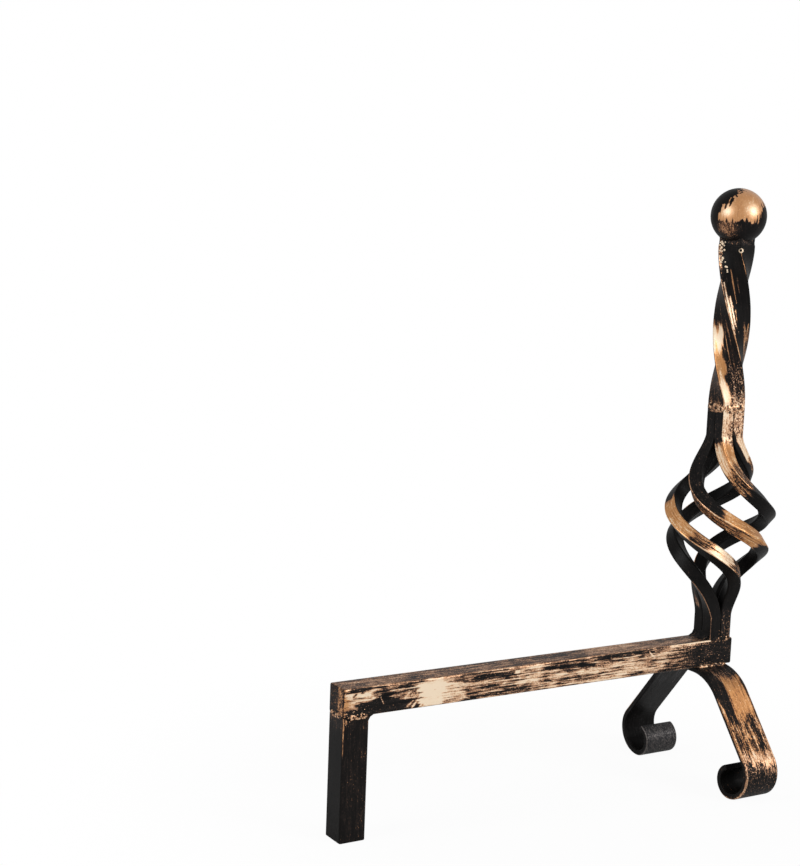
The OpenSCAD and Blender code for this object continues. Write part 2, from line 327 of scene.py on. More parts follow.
def bar_grid(centres, side_a, side_b, profile, edge_r):
    """Rings of a bar: its profile carried along a path of centres with two cross directions at each.
    Each end is rounded over edge_r and then closed by rings that shrink to the middle of the cut.
    Gives the points and their brush places: how far along the bar, and the two places across its section."""
    cap_rings = 6
    step = np.linalg.norm(np.diff(centres, axis=0), axis=1)
    along = np.concatenate([[0], np.cumsum(step)])
    half = np.abs(profile).max()
    turn = np.linspace(0, np.pi / 2, 4)
    inset = edge_r * (1 - np.sin(turn))
    setback = edge_r * (1 - np.cos(turn))
    shrink = np.concatenate([np.linspace(0.12, 0.88, cap_rings) * (1 - edge_r / half), 1 - inset / half])
    start_along = np.concatenate([np.zeros(cap_rings), setback])
    inside = (along > edge_r * 1.2) & (along < along[-1] - edge_r * 1.2)
    stations = np.concatenate([start_along, along[inside], along[-1] - start_along[::-1]])
    scale = np.concatenate([shrink, np.ones(inside.sum()), shrink[::-1]])

    def at(values):
        """The values at the stations, read off between the path's points."""
        return np.stack([np.interp(stations, along, values[:, i]) for i in range(3)], 1)

    c, a, b = at(centres), at(side_a), at(side_b)
    section = scale[:, None, None] * profile[None]
    points = c[:, None] + section[..., :1] * a[:, None] + section[..., 1:] * b[:, None]
    travel = np.broadcast_to(stations[:, None], points.shape[:2])
    return points, np.stack([travel, section[..., 0], section[..., 1]], -1)


def skin(name, *shells):
    """Mesh of one or more closed shells. A shell is a grid of rings, each a closed loop and all in one order,
    with the brush place and the paint of each point, and a flag: set, the last ring joins the first,
    and otherwise fans close both ends. Brush place and paint are kept as attributes of the mesh's points."""
    spots, places, paints, faces = [], [], [], []
    total = 0
    for points, brush, paint, loop in shells:
        rings, around = points.shape[:2]
        index = total + np.arange(rings * around).reshape(rings, around)
        here, there = (index, np.roll(index, -1, 0)) if loop else (index[:-1], index[1:])
        quads = np.stack([here, np.roll(here, -1, 1), np.roll(there, -1, 1), there], -1)
        faces += quads.reshape(-1, 4).tolist()
        spots.append(points.reshape(-1, 3))
        places.append(brush.reshape(-1, 3))
        paints.append(paint.reshape(-1, 4))
        total += rings * around
        if not loop:
            start_fan = np.stack([np.full(around, total), np.roll(index[0], -1), index[0]], 1)
            end_fan = np.stack([np.full(around, total + 1), index[-1], np.roll(index[-1], -1)], 1)
            faces += start_fan.tolist() + end_fan.tolist()
            spots.append(points[[0, -1]].mean(1))
            places.append(brush[[0, -1]].mean(1))
            paints.append(paint[[0, -1]].mean(1))
            total += 2
    mesh = bpy.data.meshes.new(name)
    mesh.from_pydata((np.concatenate(spots) / mm_per_metre).tolist(), [], faces)
    values = np.hstack([np.concatenate(places), np.concatenate(paints)]).astype(np.float32)
    for attribute, columns in (("brush", values[:, :3]), ("finish", values[:, 4:])):
        mesh.attributes.new(attribute, "FLOAT_VECTOR", "POINT").data.foreach_set("vector", columns.ravel())
    mesh.attributes.new("copper", "FLOAT", "POINT").data.foreach_set("value", values[:, 3].copy())
    mesh.polygons.foreach_set("use_smooth", np.ones(len(mesh.polygons), bool))
    mesh.update()
    piece = bpy.data.objects.new(name, mesh)
    bpy.context.scene.collection.objects.link(piece)
    return piece


# The amounts of copper between which it covers the black, and between which it turns from metal to chalk,
# and then the weights in it of four grains of noise, and what the strongest dots add
covering, chalking = (0.44, 0.60), (0.90, 1.20)
streak_weight, bristle_weight, patch_weight, tooth_weight = 1.7, 1.6, 1.3, 0.7
strong_dots, dots_extra = (0.10, 0.22), 0.28
chalk_polish = 0.25
smoothest, roughest = 0.30, 0.46
black_gloss = 0.07
tooth_depth = 0.00012


def dry_brushed(name, offset=(0, 0, 0), streak=(0.04, 0.8), polish=0.8, gloss=0.0,
                colours=(copper_colours, peach_colours)):
    """Satin black paint under copper from a nearly dry brush. The attribute copper says how much copper lies
    there, and noise drawn out along the attribute brush breaks it into streaks: mottled black, then a thin
    brown film, metallic copper from 0.5 to about 1, and a pale, chalky cream above. The attribute finish says
    how strong the streaks and the specks are, and how far the first palette turns into the second. streak is
    the streaks' waves a millimetre along the brush's way and across it, polish how metallic the copper is,
    and gloss the weight of a clear coat on it."""
    material = bpy.data.materials.new(name)
    material.use_nodes = True
    tree = material.node_tree
    tree.nodes.clear()
    place = linked(tree, "ShaderNodeAttribute", attribute_name="brush").outputs["Vector"]
    amount = linked(tree, "ShaderNodeAttribute", attribute_name="copper").outputs["Fac"]
    finish = linked(tree, "ShaderNodeAttribute", attribute_name="finish").outputs["Vector"]
    streakiness, speckiness, paleness = linked(tree, "ShaderNodeSeparateXYZ", Vector=finish).outputs

    def maths(operation, *values):
        """A maths node's result."""
        inputs = {f"_{number}": value for number, value in enumerate(values)}
        return linked(tree, "ShaderNodeMath", operation=operation, **inputs).outputs[0]

    def noise(along, across, detail, roughness=0.55, bend=0.0):
        """Noise about 0, with this many waves a millimetre along the brush's way and across it."""
        scaled = linked(tree, "ShaderNodeMapping", Vector=place, Location=offset,
                        Scale=(along, across, across))
        made = linked(tree, "ShaderNodeTexNoise", Vector=scaled.outputs[0], Scale=1.0, Detail=detail,
                      Roughness=roughness, Distortion=bend)
        return maths("SUBTRACT", made.outputs["Fac"], 0.5)

    def eased(value, start, end, low=0.0, high=1.0):
        """From low where the value is at start to high at end."""
        made = linked(tree, "ShaderNodeMapRange", interpolation_type="SMOOTHSTEP", Value=value,
                      From_Min=start, From_Max=end, To_Min=low, To_Max=high)
        return made.outputs[0]

    streaks = noise(streak[0], streak[1], 3.0, bend=0.3)
    bristles = noise(streak[0] * 3.5, streak[1] * 2.6, 2.0, bend=0.4)
    patches = noise(0.09, 0.16, 3.0, 0.6, bend=0.6)
    tooth = noise(1.3, 1.3, 3.0, 0.65)
    dots = noise(0.75, 1.1, 2.0)
    lines = maths("MULTIPLY", streaks, streak_weight)
    for grain, weight in ((bristles, bristle_weight), (patches, patch_weight), (tooth, tooth_weight)):
        lines = maths("MULTIPLY_ADD", grain, weight, lines)
    laid = maths("MULTIPLY_ADD", lines, streakiness, amount)
    laid = maths("MULTIPLY_ADD", dots, speckiness, laid)
    laid = maths("ADD", laid, eased(dots, *strong_dots, 0.0, dots_extra))
    shade = linked(tree, "ShaderNodeMapRange", Value=laid, From_Min=barest, From_Max=palest)
    tints = []
    for palette in colours:
        tint = linked(tree, "ShaderNodeValToRGB", Fac=shade.outputs[0])
        ramp = tint.color_ramp
        while len(ramp.elements) < len(palette):
            ramp.elements.new(0.5)
        for element, (copper, colour) in zip(ramp.elements, palette):
            element.position = (copper - barest) / (palest - barest)
            element.color = (*colour, 1)
        tints.append(tint.outputs[0])
    tint = linked(tree, "ShaderNodeMix", data_type="RGBA", _0=paleness, _6=tints[0], _7=tints[1]).outputs[2]
    cover = eased(laid, *covering)
    metal = maths("MULTIPLY", cover, eased(laid, *chalking, polish, chalk_polish * polish))
    roughness = eased(tooth, -0.2, 0.2, smoothest, roughest)
    height = maths("MULTIPLY_ADD", tooth, 1.6, maths("MULTIPLY_ADD", bristles, 0.8, cover))
    bump = linked(tree, "ShaderNodeBump", Strength=0.35, Distance=tooth_depth, Height=height)
    coat = maths("MULTIPLY", cover, gloss) if gloss else 0.0
    paint = linked(tree, "ShaderNodeBsdfPrincipled", Base_Color=tint, Metallic=metal, Roughness=roughness,
                   Specular_IOR_Level=black_gloss, Coat_Weight=coat, Coat_Roughness=0.30,
                   Normal=bump.outputs[0])
    linked(tree, "ShaderNodeOutputMaterial", Surface=paint.outputs[0])
    return material


bar_rows = np.arange(log_bar_low[1], log_bar_high[1] + 1, bar_ring_gap).clip(max=log_bar_high[1])
bar_middle_z = np.full(bar_rows.size, log_bar_low[2] + half_bar)
bar_path = np.stack([np.zeros(bar_rows.size), bar_rows, bar_middle_z], 1)
bar_near = np.tile([-1.0, 0, 0], (bar_rows.size, 1))
bar_up = np.tile([0.0, 0, 1], (bar_rows.size, 1))
bar_profile = square_profile(half_bar, half_bar, bar_edge_r, 0.6)
bar_points, bar_brush = bar_grid(bar_path, bar_near, bar_up, bar_profile, bar_end_r)

# The near side is the one towards the camera. The coats run from the upright's end to the rear, and a limit
# of 1.3 takes one past the side's corner. Each side's first coat is its ground.
near, top, far, under = range(4)
top_corner, bottom_corner = 0, 3
whole = (-1.3, 1.3)
bar_coats = (
    (near, -5, 345, *whole, 0.72, 1.5, 1.1),
    (near, 82, 102, -0.5, 0.4, 0.76),
    (near, 100, 136, -0.5, 0.4, 0.62),
    (near, 96, 136, -1.3, -0.5, 0.90),
    (near, 134, 160, -0.5, 0.4, 0.36),
    (near, 136, 160, -1.3, -0.5, 0.62),
    (near, 160, 180, -1.3, -0.5, 0.94),
    (near, 178, 206, -1.3, -0.66, 0.44),
    (near, 200, 242, -1.3, -0.25, 0.10),
    (near, 200, 242, -0.25, 0.4, 0.54),
    (near, 198, 232, 0.35, 1.3, 0.24),
    (near, 236, 252, 0.3, 1.3, 0.54),
    (near, 240, 262, -0.7, 0.4, 1.06),
    (near, 128, 172, 0.38, 1.1, 0.12),
    (near, 78, 132, 0.45, 1.1, 0.12),
    (near, 92, 116, 0.38, 0.92, 0.46),
    (near, 60, 90, -1.3, -0.3, 0.88),
    (near, 60, 78, -0.3, 0.4, 0.84),
    (near, 60, 80, 0.4, 1.3, 0.42),
    (near, 44, 66, -1.3, -0.3, 0.28, 1.2, 2.0),
    (near, 42, 64, -0.3, 0.4, 0.50, 1.2, 2.0),
    (near, 38, 64, 0.4, 1.3, 0.72, 1.2, 2.0),
    (near, 20, 45, -1.3, 0.6, 0.14, 0.8, 1.6),
    (near, 20, 40, 0.6, 1.3, 0.30, 0.8, 1.9),
    (near, -9, 22, *whole, 0.10, 0.4, 1.3),
    (near, 259, 279, -1.3, 0.8, 1.9),
    (near, 262, 276, 0.8, 1.3, 1.1),
    (near, 279, 294, -1.3, 0.3, 0.10, 0.8, 0.6),
    (near, 279, 287, -0.4, 0.4, 0.70, 1.2, 2.0),
    (near, 280, 314, 0.2, 1.3, 0.36),
    (near, 280, 300, -0.3, 0.3, 0.62),
    (near, 291, 337, -1.3, 0.06, 0.08, 0.3, 0.9),
    (near, 312, 333, 0.1, 0.72, 1.16, 1.2, 1.0),
    (near, 286, 334, 0.72, 0.96, -0.1),
    (near, 302, 314, 0.0, 0.7, -0.1),
    (near, 330, 336, -0.40, 0.1, 0.95),
    (near, 336, 345, *whole, 0.62, 0.7, 0.8, 0.1),
    (far, -5, 345, *whole, 0.62, 1.5, 1.1),
    (far, -9, 30, *whole, 0.12, 0.4, 1.8),
    (far, 150, 215, -0.7, 0.9, 0.90),
    (under, 25, 310, *whole, 0.30, 1.2, 1.0),
    (top, -5, 345, *whole, 0.44, 0.8, 1.2),
    (top, 60, 132, -1.0, 1.0, 0.60),
    (top, 132, 168, *whole, 0.38),
    (top, 285, 345, -1.3, 0.5, 0.58),
)
bar_edges = (
    (top_corner, 60, 345, 0.6, 0.74),
    (top_corner, 18, 60, 0.8, 1.5),
    (bottom_corner, 84, 258, 0.6, 0.62),
)
bar_strokes = (
    (near, 275, 280, -0.55, -1.05, 1.8, 1.25),
    (near, 278, 285, -0.10, -0.95, 2.0, 1.15),
    (near, 283, 289, -0.35, -0.80, 1.2, 0.9),
    (near, 286, 291, 0.25, -0.15, 1.4, 1.0),
    (near, 328, 331, 0.62, 0.42, 1.6, -0.2),
    (near, 322, 325, 0.66, 0.60, 1.0, 0.0),
    (near, 316, 331, 0.20, 0.30, 0.9, 0.1),
    (near, 307, 310, -0.35, 0.25, 1.0, 1.3),
    (near, 196, 200, 0.6, 0.6, 2.4, 1.5),
    (near, 74, 80, 0.2, 0.75, 1.6, 1.3),
)
bar_ground = (-0.2, 1.6, 0.6, 1.0)
bar_paint = coated(bar_brush, half_bar, half_bar, bar_ground, bar_coats, bar_edges, bar_strokes)

# The sawn rear end keeps a brown film, and copper on its near half
bar_end = rise(bar_brush[..., 0], bar_l - 0.5, bar_l - 0.1)
lay_over(bar_paint, (0.10, 0.6, 0.6, 0.1), bar_end)
lay_over(bar_paint, (0.46, 0.9, 1.2, 0.2), bar_end * daub(bar_brush[..., 1], 1.5, 8.0, 1.0))
log_bar = skin("painted_log_bar", (bar_points, bar_brush, bar_paint, False))
log_bar.data.materials.append(dry_brushed("dry_brushed_log_bar", streak=(0.026, 0.75), polish=0.45))
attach(log_bar, "root")
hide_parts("log_bar")

# ---- Rear leg ----
# The same square bar, sawn off square, stood under the rear end of the log bar and welded to it.
# It is left black, but for a thin drip of copper that ran down its outer corner.
leg_low, leg_high = box_of("rear_leg")
leg_ring_gap = 1.5
leg_rows = np.arange(leg_low[2], leg_high[2] + 1, leg_ring_gap).clip(max=leg_high[2])
leg_middle = (leg_low + leg_high) / 2
leg_path = np.tile(leg_middle, (leg_rows.size, 1))
leg_path[:, 2] = leg_rows
leg_a = np.tile([1.0, 0, 0], (leg_rows.size, 1))
leg_b = np.tile([0.0, 1, 0], (leg_rows.size, 1))
leg_points, leg_brush = bar_grid(leg_path, leg_a, leg_b, bar_profile, bar_end_r)

# Side 1 is the rear and side 2 the one towards the camera, and the corner between them is edge 1
rear_corner = 1
leg_ground = (-0.3, 0.5, 0.3, 0.4)
leg_coats = (
    (2, -5, 90, *whole, 0.04, 0.5, 0.5),
    (1, 78, 90, *whole, 0.15),
    (2, 78, 90, *whole, 0.10),
    (2, 82, 90, -0.95, -0.70, 0.80, 0.8, 1.2),
)
leg_edges = ((rear_corner, 58, 90, 0.5, 1.0, 0.7, 0.9),)
leg_paint = coated(leg_brush, half_bar, half_bar, leg_ground, leg_coats, leg_edges)
rear_leg = skin("painted_rear_leg", (leg_points, leg_brush, leg_paint, False))
rear_leg.data.materials.append(dry_brushed("black_rear_leg", offset=(40, 0, 0)))
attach(rear_leg, "root")
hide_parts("rear_leg")

# ---- Front legs ----
# Two flat straps of mild steel, welded under the log bar by a short seat, bent down from it, run out straight
# and rolled over into a scroll that curls under. The scroll's lowest line stands on the hearth.
strap_low, strap_high = box_of("right_front_leg")
strap_t = 4.0
strap_w = strap_high[1] - strap_low[1]
strap_edge_r = 0.7
strap_end_r = 0.6
seat_l = 7.0
crown_r = 35.0
scroll_r = 18.0
curl_r = 10.7
curl_turn = np.radians(162)


def strap_line():
    """Middle line of the strap, seen from the front: a flat seat, an arc about the crown's centre, a straight
    tangent, an arc about the scroll's centre and a tighter one for the curl. Gives its points and the
    bearing of its outer side at each."""
    crown = np.array([seat_l, strap_high[2] - strap_t / 2 - crown_r])
    scroll = np.array([strap_high[0] - strap_t / 2 - scroll_r, strap_t / 2 + scroll_r])
    curl = np.array([scroll[0], strap_t / 2 + curl_r])
    span = scroll - crown
    slope = np.arcsin((crown_r - scroll_r) / np.hypot(*span)) - np.arctan2(span[1], span[0])
    stretches = (
        (crown - [seat_l, 0], crown, crown_r, np.pi / 2, np.pi / 2),
        (crown, crown, crown_r, np.pi / 2, np.pi / 2 - slope),
        (crown, scroll, crown_r, np.pi / 2 - slope, np.pi / 2 - slope),
        (scroll, scroll, scroll_r, np.pi / 2 - slope, -np.pi / 2),
        (curl, curl, curl_r, -np.pi / 2, -np.pi / 2 - curl_turn),
    )
    line, bearings = [], []
    for number, (start, end, radius, from_a, to_a) in enumerate(stretches):
        end_radius = scroll_r if number == 2 else radius
        t = np.linspace(0, 1, 60)[1:, None] if number else np.linspace(0, 1, 24)[:, None]
        a = from_a + (to_a - from_a) * t
        out = np.concatenate([np.cos(a), np.sin(a)], 1)
        line.append(start + (end - start) * t + out * (radius + (end_radius - radius) * t))
        bearings.append(a[:, 0])
    return np.concatenate(line), np.concatenate(bearings)


def front_leg(hand):
    """Points and brush places of a strap leg, to the right where hand is 1 and to the left where it is -1.
    Side 0 is the strap's outer face. Side 1 is its rear edge on the right and its front edge on the left."""
    line, bearing = strap_line()
    out = np.stack([hand * np.cos(bearing), np.zeros(bearing.size), np.sin(bearing)], 1)
    across = np.tile([0.0, hand, 0], (bearing.size, 1))
    middle_y = (strap_low[1] + strap_high[1]) / 2
    path = np.stack([hand * line[:, 0], np.full(bearing.size, middle_y), line[:, 1]], 1)
    profile = square_profile(strap_t / 2, strap_w / 2, strap_edge_r, 0.9)
    return bar_grid(path, out, across, profile, strap_end_r)


# Copper lies over the shins. The scrolls stay black, but on the far leg grey is painted over the scroll's outer
# face and its edges: a painted highlight and painted rim light where the scroll turns towards the lamp. The
# coats run down the strap from its seat, with its outer face as side 0 and its inner one as side 2.
# The second palette of the far leg: its black, and the greys of its painted highlight and rim light
grey_colours = (
    (-0.40, (0.0040, 0.0036, 0.0035)),
    (0.05, (0.0080, 0.0070, 0.0068)),
    (0.50, (0.0420, 0.0410, 0.0430)),
    (1.00, (0.1700, 0.1500, 0.1400)),
)
left_ground = (-0.15, 0.7, 0.6, 0.3)
right_ground = (-0.15, 0.7, 0.6, 1.0)
left_coats = (
    (0, -5, 27, *whole, 0.0, 0.7, 1.4, 0.8),
    (0, 14, 30, -0.5, 0.4, 0.30),
    (0, 26, 64, -0.34, 0.86, 0.74, 0.6, 0.4, 0.0),
    (0, 26, 60, 0.86, 1.3, 0.42),
    (0, 24, 64, -1.3, -0.44, 0.0),
    (0, 58, 86, *whole, 0.30, 1.3, 1.2, 0.2),
    (0, 62, 88, 0.66, 1.3, 0.52, 0.9, 1.2, 0.6),
    # Painted highlight: across the bend from 85 to 96 the copper is laid paler, in pale peach
    (0, 85, 96, *whole, 0.88, 0.7, 1.4, 0.9),
    (0, 96, 104, *whole, 0.38, 0.5, 2.2, 1.0),
    (0, 96, 106, 0.5, 1.3, 0.56, 0.5, 2.4, 1.0),
    (0, 102, 170, *whole, 0.08, 0.3, 1.5, 1.0),
)
left_edges = ((3, 46, 90, 1.2, 0.80), (3, 88, 138, 1.0, 0.80, 0.6, 1.8, 1.0), (0, 40, 74, 0.9, 0.55))
right_coats = (
    (2, 30, 52, *whole, 0.12),
    (0, 16, 98, *whole, 0.32, 1.2, 1.4, 0.0),
    (0, 28, 66, -0.5, 0.7, 0.76, 0.7, 0.6, 0.0),
    (0, 76, 92, *whole, 0.66, 0.9, 1.6, 0.0),
    (0, 98, 132, *whole, 0.08, 0.3, 1.5, 0.4),
    # Painted highlight: the far scroll's outer face is laid grey where it turns towards the lamp
    (0, 132, 170, *whole, 0.52, 0.3, 1.6),
)
# Painted rim light: the far scroll's two outer edges are laid grey
right_edges = ((0, 132, 163, 0.6, 0.95), (3, 132, 163, 0.6, 0.8))
for leg_name, hand, second_palette, ground, coats, edges, leg_slot in (
    ("left_front_leg", -1, peach_colours, left_ground, left_coats, left_edges, "copper_on_black"),
    ("right_front_leg", 1, grey_colours, right_ground, right_coats, right_edges, "black_iron"),
):
    points, brush = front_leg(hand)
    paint = coated(brush, strap_t / 2, strap_w / 2, ground, coats, edges, soft=4.0, seed=90 + hand)
    leg = skin("painted_" + leg_name, (points, brush, paint, False))
    leg.data.materials.append(dry_brushed("dry_brushed_" + leg_name, offset=(90 * hand, 3, 0),
                                          colours=(copper_colours, second_palette)))
    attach(leg, "root")
    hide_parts(leg_name)

# ---- Basket ----
# Four square steel rods welded side by side at both ends, twisted hot as one bundle and then driven
# together end to end and turned back, so that they spring apart into an open basket.
# Its reach in the bundle sets the rods side by side, with no slit of light between them.
rod_s = 10.0
rod_edge_r = 1.1
foot_l, basket_l, neck_l = 17.5, 137.5, 21.0
bundle_r = rod_s / np.sqrt(2)
basket_r = 36.0
basket_round = 0.83
basket_lift = 0.1
basket_turn = 273.0
basket_rush = 0.4
rod_wander = (-3.0, -7.0, 4.0, 5.0)
rod_rings = 236
rod_end_r = 0.5
bundle_z = box_of("basket_rod_1")[0][2]
ball_low, ball_high = box_of("ball_finial")
post_y = (ball_low[1] + ball_high[1]) / 2


def rod_line(k, z):
    """Middle line of rod k at heights z over the bundle's foot, and its bearing. Its reach from the axis is
    the bundle's, plus a squared sine of the height to a power. Its bearing falls with the height, most slowly
    at the basket's ends, and wanders a little in the middle."""
    u = np.clip((z - foot_l) / basket_l, 0, 1)
    v = u - basket_lift * u * (1 - u)
    reach = bundle_r + (basket_r - bundle_r) * (np.sin(np.pi * v) ** 2) ** basket_round
    bearing = np.radians(
        90 * k - 45 - basket_turn * (u - basket_rush * np.sin(2 * np.pi * u) / (2 * np.pi))
        + rod_wander[k] * np.sin(np.pi * u) ** 2
    )
    return np.stack([reach * np.cos(bearing), reach * np.sin(bearing), z], -1), bearing


def rod_frame(k, z):
    """Middle line of rod k with two cross directions, set so that one corner of the section faces outwards.
    The first one points out and down, the second out and up."""
    line, bearing = rod_line(k, z)
    chord = rod_line(k, z + 0.5)[0] - rod_line(k, z - 0.5)[0]
    along = chord / np.linalg.norm(chord, axis=1, keepdims=True)
    radial = np.stack([np.cos(bearing), np.sin(bearing), np.zeros(bearing.size)], 1)
    out = radial - (radial * along).sum(1, keepdims=True) * along
    out /= np.linalg.norm(out, axis=1, keepdims=True)
    across = np.cross(along, out)
    return line + [0, post_y, bundle_z], (out - across) / np.sqrt(2), (out + across) / np.sqrt(2)


# Side 0 looks out and down and side 1 out and up, with the outer corner between them as edge 0.
# The coats are placed by the height over the bundle's foot.
orange = (0.85, 0.6, 0.3, 0.0)
cream = (1.18, 0.8, 0.6, 1.0)
rubbed = (0.42, 1.1, 1.2, 0.25)
speckled = (0.62, 0.7, 2.6, 1.0)
bare = (-0.02, 0.5, 0.8, 1.0)
unbrushed = (-0.16, 0.4, 0.4, 1.0)
rod_coats = (
    (
        (1, 76, 101, *whole, *orange),
        (0, 80, 90, *whole, *orange),
        (0, 90, 100, *whole, *rubbed),
        (0, 98, 126, *whole, 0.36, 0.9, 1.6, 0.3),
        (1, 103, 126, *whole, *bare),
        (1, 126, 180, *whole, *bare),
    ),
    (
        (0, 116, 132, *whole, *rubbed),
        (0, 131, 150, -1.3, 0.5, 1.10, 0.8, 0.8, 0.5),
        (0, 131, 150, 0.5, 1.3, *orange),
        (0, 150, 180, *whole, *bare),
        (1, 116, 136, *whole, *rubbed),
        (1, 134, 150, *whole, *orange),
        (1, 150, 180, -1.3, 0.4, 1.02, 0.9, 1.8, 0.9),
        (1, 148, 180, 0.2, 1.3, *speckled),
        (1, 23, 32, -0.4, 0.5, 0.55),
        (1, 46, 72, *whole, *orange),
        (0, 52, 66, *whole, *orange),
    ),
    (
        (1, 86, 112, *whole, *orange),
        (0, 92, 106, *whole, *orange),
        (0, 136, 157, -0.2, 1.3, *cream),
        (0, 124, 137, 0.1, 1.3, *rubbed),
        (0, 156, 180, *whole, *speckled),
    ),
    (
        (1, 104, 130, *whole, *bare),
        (1, 80, 101, *whole, *orange),
        (1, 73, 80, *whole, *rubbed),
        (1, 61, 73, *whole, *cream),
        (1, 52, 61, *whole, *rubbed),
        (0, 0, 26, *whole, 0.12, 0.5, 1.2),
    ),
)
rod_edges = (
    ((0, 84, 126, 0.6, 0.95),),
    ((0, 118, 150, 0.6, 1.0),),
    ((0, -5, 48, 0.5, 0.80), (0, 120, 156, 0.6, 0.9)),
    ((0, 58, 102, 0.6, 1.15),),
)
rod_profile = square_profile(rod_s / 2, rod_s / 2, rod_edge_r, 1.0)
rod_z = np.linspace(0, foot_l + basket_l + neck_l, rod_rings)
for k in range(4):
    rod_name = f"basket_rod_{k + 1}"
    path, side_a, side_b = rod_frame(k, rod_z)
    points, brush = bar_grid(path, side_a, side_b, rod_profile, rod_end_r)
    step = np.linalg.norm(np.diff(path, axis=0), axis=1)
    along = np.concatenate([[0], np.cumsum(step)])
    height = brush.copy()
    height[..., 0] = np.interp(brush[..., 0], along, rod_z)
    paint = coated(height, rod_s / 2, rod_s / 2, unbrushed, rod_coats[k], rod_edges[k], soft=2.0,
                   fray=3.0, seed=100 + 3 * k)
    rod = skin("painted_" + rod_name, (points, brush, paint, False))
    rod.data.materials.append(dry_brushed("dry_brushed_" + rod_name, offset=(200 * k, 0, 7)))
    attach(rod, "root")
    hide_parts(rod_name)

# ---- Twisted bar ----
# The log bar's stock again, with short straight stubs and a slow twist between them, welded on the bundle.
# A broad ribbon of copper follows one of its sides up from the collar, painted cream in two stretches as
# painted highlights where that side turns towards the lamps, and its corners are rubbed bright.
twisted_low, twisted_high = box_of("twisted_bar")
twisted_l = twisted_high[2] - twisted_low[2]
stub_l = 5.0
twisted_turn = 160.0
twisted_rings = 161
twisted_z = np.linspace(0, twisted_l, twisted_rings)
twisted_bearing = np.radians(
    -basket_turn - twisted_turn * np.clip((twisted_z - stub_l) / (twisted_l - 2 * stub_l), 0, 1)
)
twisted_path = np.stack([0 * twisted_z, 0 * twisted_z + post_y, twisted_low[2] + twisted_z], 1)
twisted_a = np.stack([np.cos(twisted_bearing), np.sin(twisted_bearing), 0 * twisted_z], 1)
twisted_b = np.stack([-np.sin(twisted_bearing), np.cos(twisted_bearing), 0 * twisted_z], 1)
twisted_points, twisted_brush = bar_grid(twisted_path, twisted_a, twisted_b, bar_profile, bar_end_r)

# The coats run up from the collar, and sides 1 and 2 are those that show most from the camera
twisted_ground = (-0.2, 0.6, 0.5, 0.3)
twisted_coats = (
    (0, -5, 36, *whole, 0.20, 0.9, 0.8, 0.6),
    (0, -5, 3.5, *whole, 0.62, 0.7, 2.4, 0.7),
    (1, -5, 95, *whole, 0.08),
    (1, 58, 67, -1.3, -0.30, 0.60),
    # Painted highlight: cream laid over the ribbon's copper from 44 to 61, where the side turns towards a lamp
    (1, 44, 61, -1.3, -0.06, 1.40, 0.6, 0.4, 1.0),
    (1, 23, 45, -1.3, -0.26, 0.84, 0.4, 0.2, 0.0),
    # Painted highlight: cream laid over the ribbon's copper up to 24, where the side turns towards a lamp
    (1, -5, 24, -1.3, -0.42, 1.36, 0.6, 0.4, 0.8),
    (1, 10, 34, -0.2, 1.3, 0.10, 0.7, 3.2, 1.0),
    (1, -5, 12, -0.35, 1.3, 0.52, 0.7, 3.6, 1.0),
    (1, -5, 5, -0.35, 1.3, 0.78, 0.7, 2.6, 1.0),
    (2, 80, 96, -1.3, -0.60, 0.26, 1.4, 1.6, 1.0),
    (2, 58, 82, -1.3, -0.42, 0.44, 1.6, 2.0, 1.0),
    (2, 34, 62, 0.1, 1.3, 0.28, 1.0, 1.2, 0.3),
    (2, 100, 125, -1.3, -0.62, 0.48, 0.9, 1.8, 1.0),
    (0, 66, 100, -0.3, 1.3, 0.80, 0.8, 0.6, 0.2),
    (3, 22, 62, -1.3, 0.0, 0.82, 0.6, 0.4, 0.1),
    (3, 60, 74, -1.3, -0.2, 1.10, 0.9, 1.0, 0.8),
)
twisted_edges = ((1, 36, 94, 0.5, 1.25), (2, 96, 116, 0.3, 1.5), (0, -5, 34, 0.6, 0.8))
scribbles = tuple(
    (1, 2 + 3 * i, 5.5 + 3 * i, 0.75 - 0.6 * (i % 3), 0.1 + 0.5 * (i % 2), 0.8, 1.2 - 0.08 * i)
    for i in range(8)
)
twisted_strokes = scribbles + (
    (1, 14, 58, 0.12, 0.16, 0.7, 0.60),
    (1, 30, 66, 0.42, 0.5, 0.7, 0.50),
    (2, 78, 104, -0.16, -0.1, 0.8, 0.85),
    (2, 86, 98, 0.2, 0.24, 0.7, 0.60),
    (2, 60, 94, -0.86, -0.78, 0.8, 1.9),
    (2, 63, 84, -0.64, -0.52, 0.8, 1.8),
    (2, 64, 74, -0.42, -0.34, 0.5, 1.2),
    (2, 44, 64, 0.2, 0.75, 0.7, 0.95),
    (2, 36, 60, 0.0, 0.35, 0.7, 0.80),
)
twisted_paint = coated(twisted_brush, half_bar, half_bar, twisted_ground, twisted_coats, twisted_edges,
                       twisted_strokes, seed=80)
twisted_bar = skin("painted_twisted_bar", (twisted_points, twisted_brush, twisted_paint, False))
twisted_bar.data.materials.append(dry_brushed("dry_brushed_twisted_bar", offset=(500, 0, 0)))
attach(twisted_bar, "root")
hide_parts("twisted_bar")

# ---- Ball ----
# A solid steel ball, welded on the twisted bar. Copper was brushed over one shoulder of it in upright strokes
# that end ragged, and a thin brown film lies below on one side. Two caps of the copper, where the lamps are
# mirrored, are laid paler as painted highlights.
ball_r = (ball_high[2] - ball_low[2]) / 2
ball_middle = (ball_low + ball_high) / 2
ball_rows, ball_around = 140, 240

# The patch of copper lies over a level floor and inside three planes. Each has its direction and its distance
# from the ball's middle, in radii.
patch_soft = 0.05
patch_floor = -0.16
patch_planes = (
    ((0.48, 0.54, 0.69), 0.61),
    ((0.663, 0.749, 0.0), 0.70),
    ((-0.663, -0.749, -0.35), 0.74),
)
film_towards = np.array([-0.36, 0.80, -0.40])
film_half_angle, film_soft = 24, 14
film_copper = 0.64
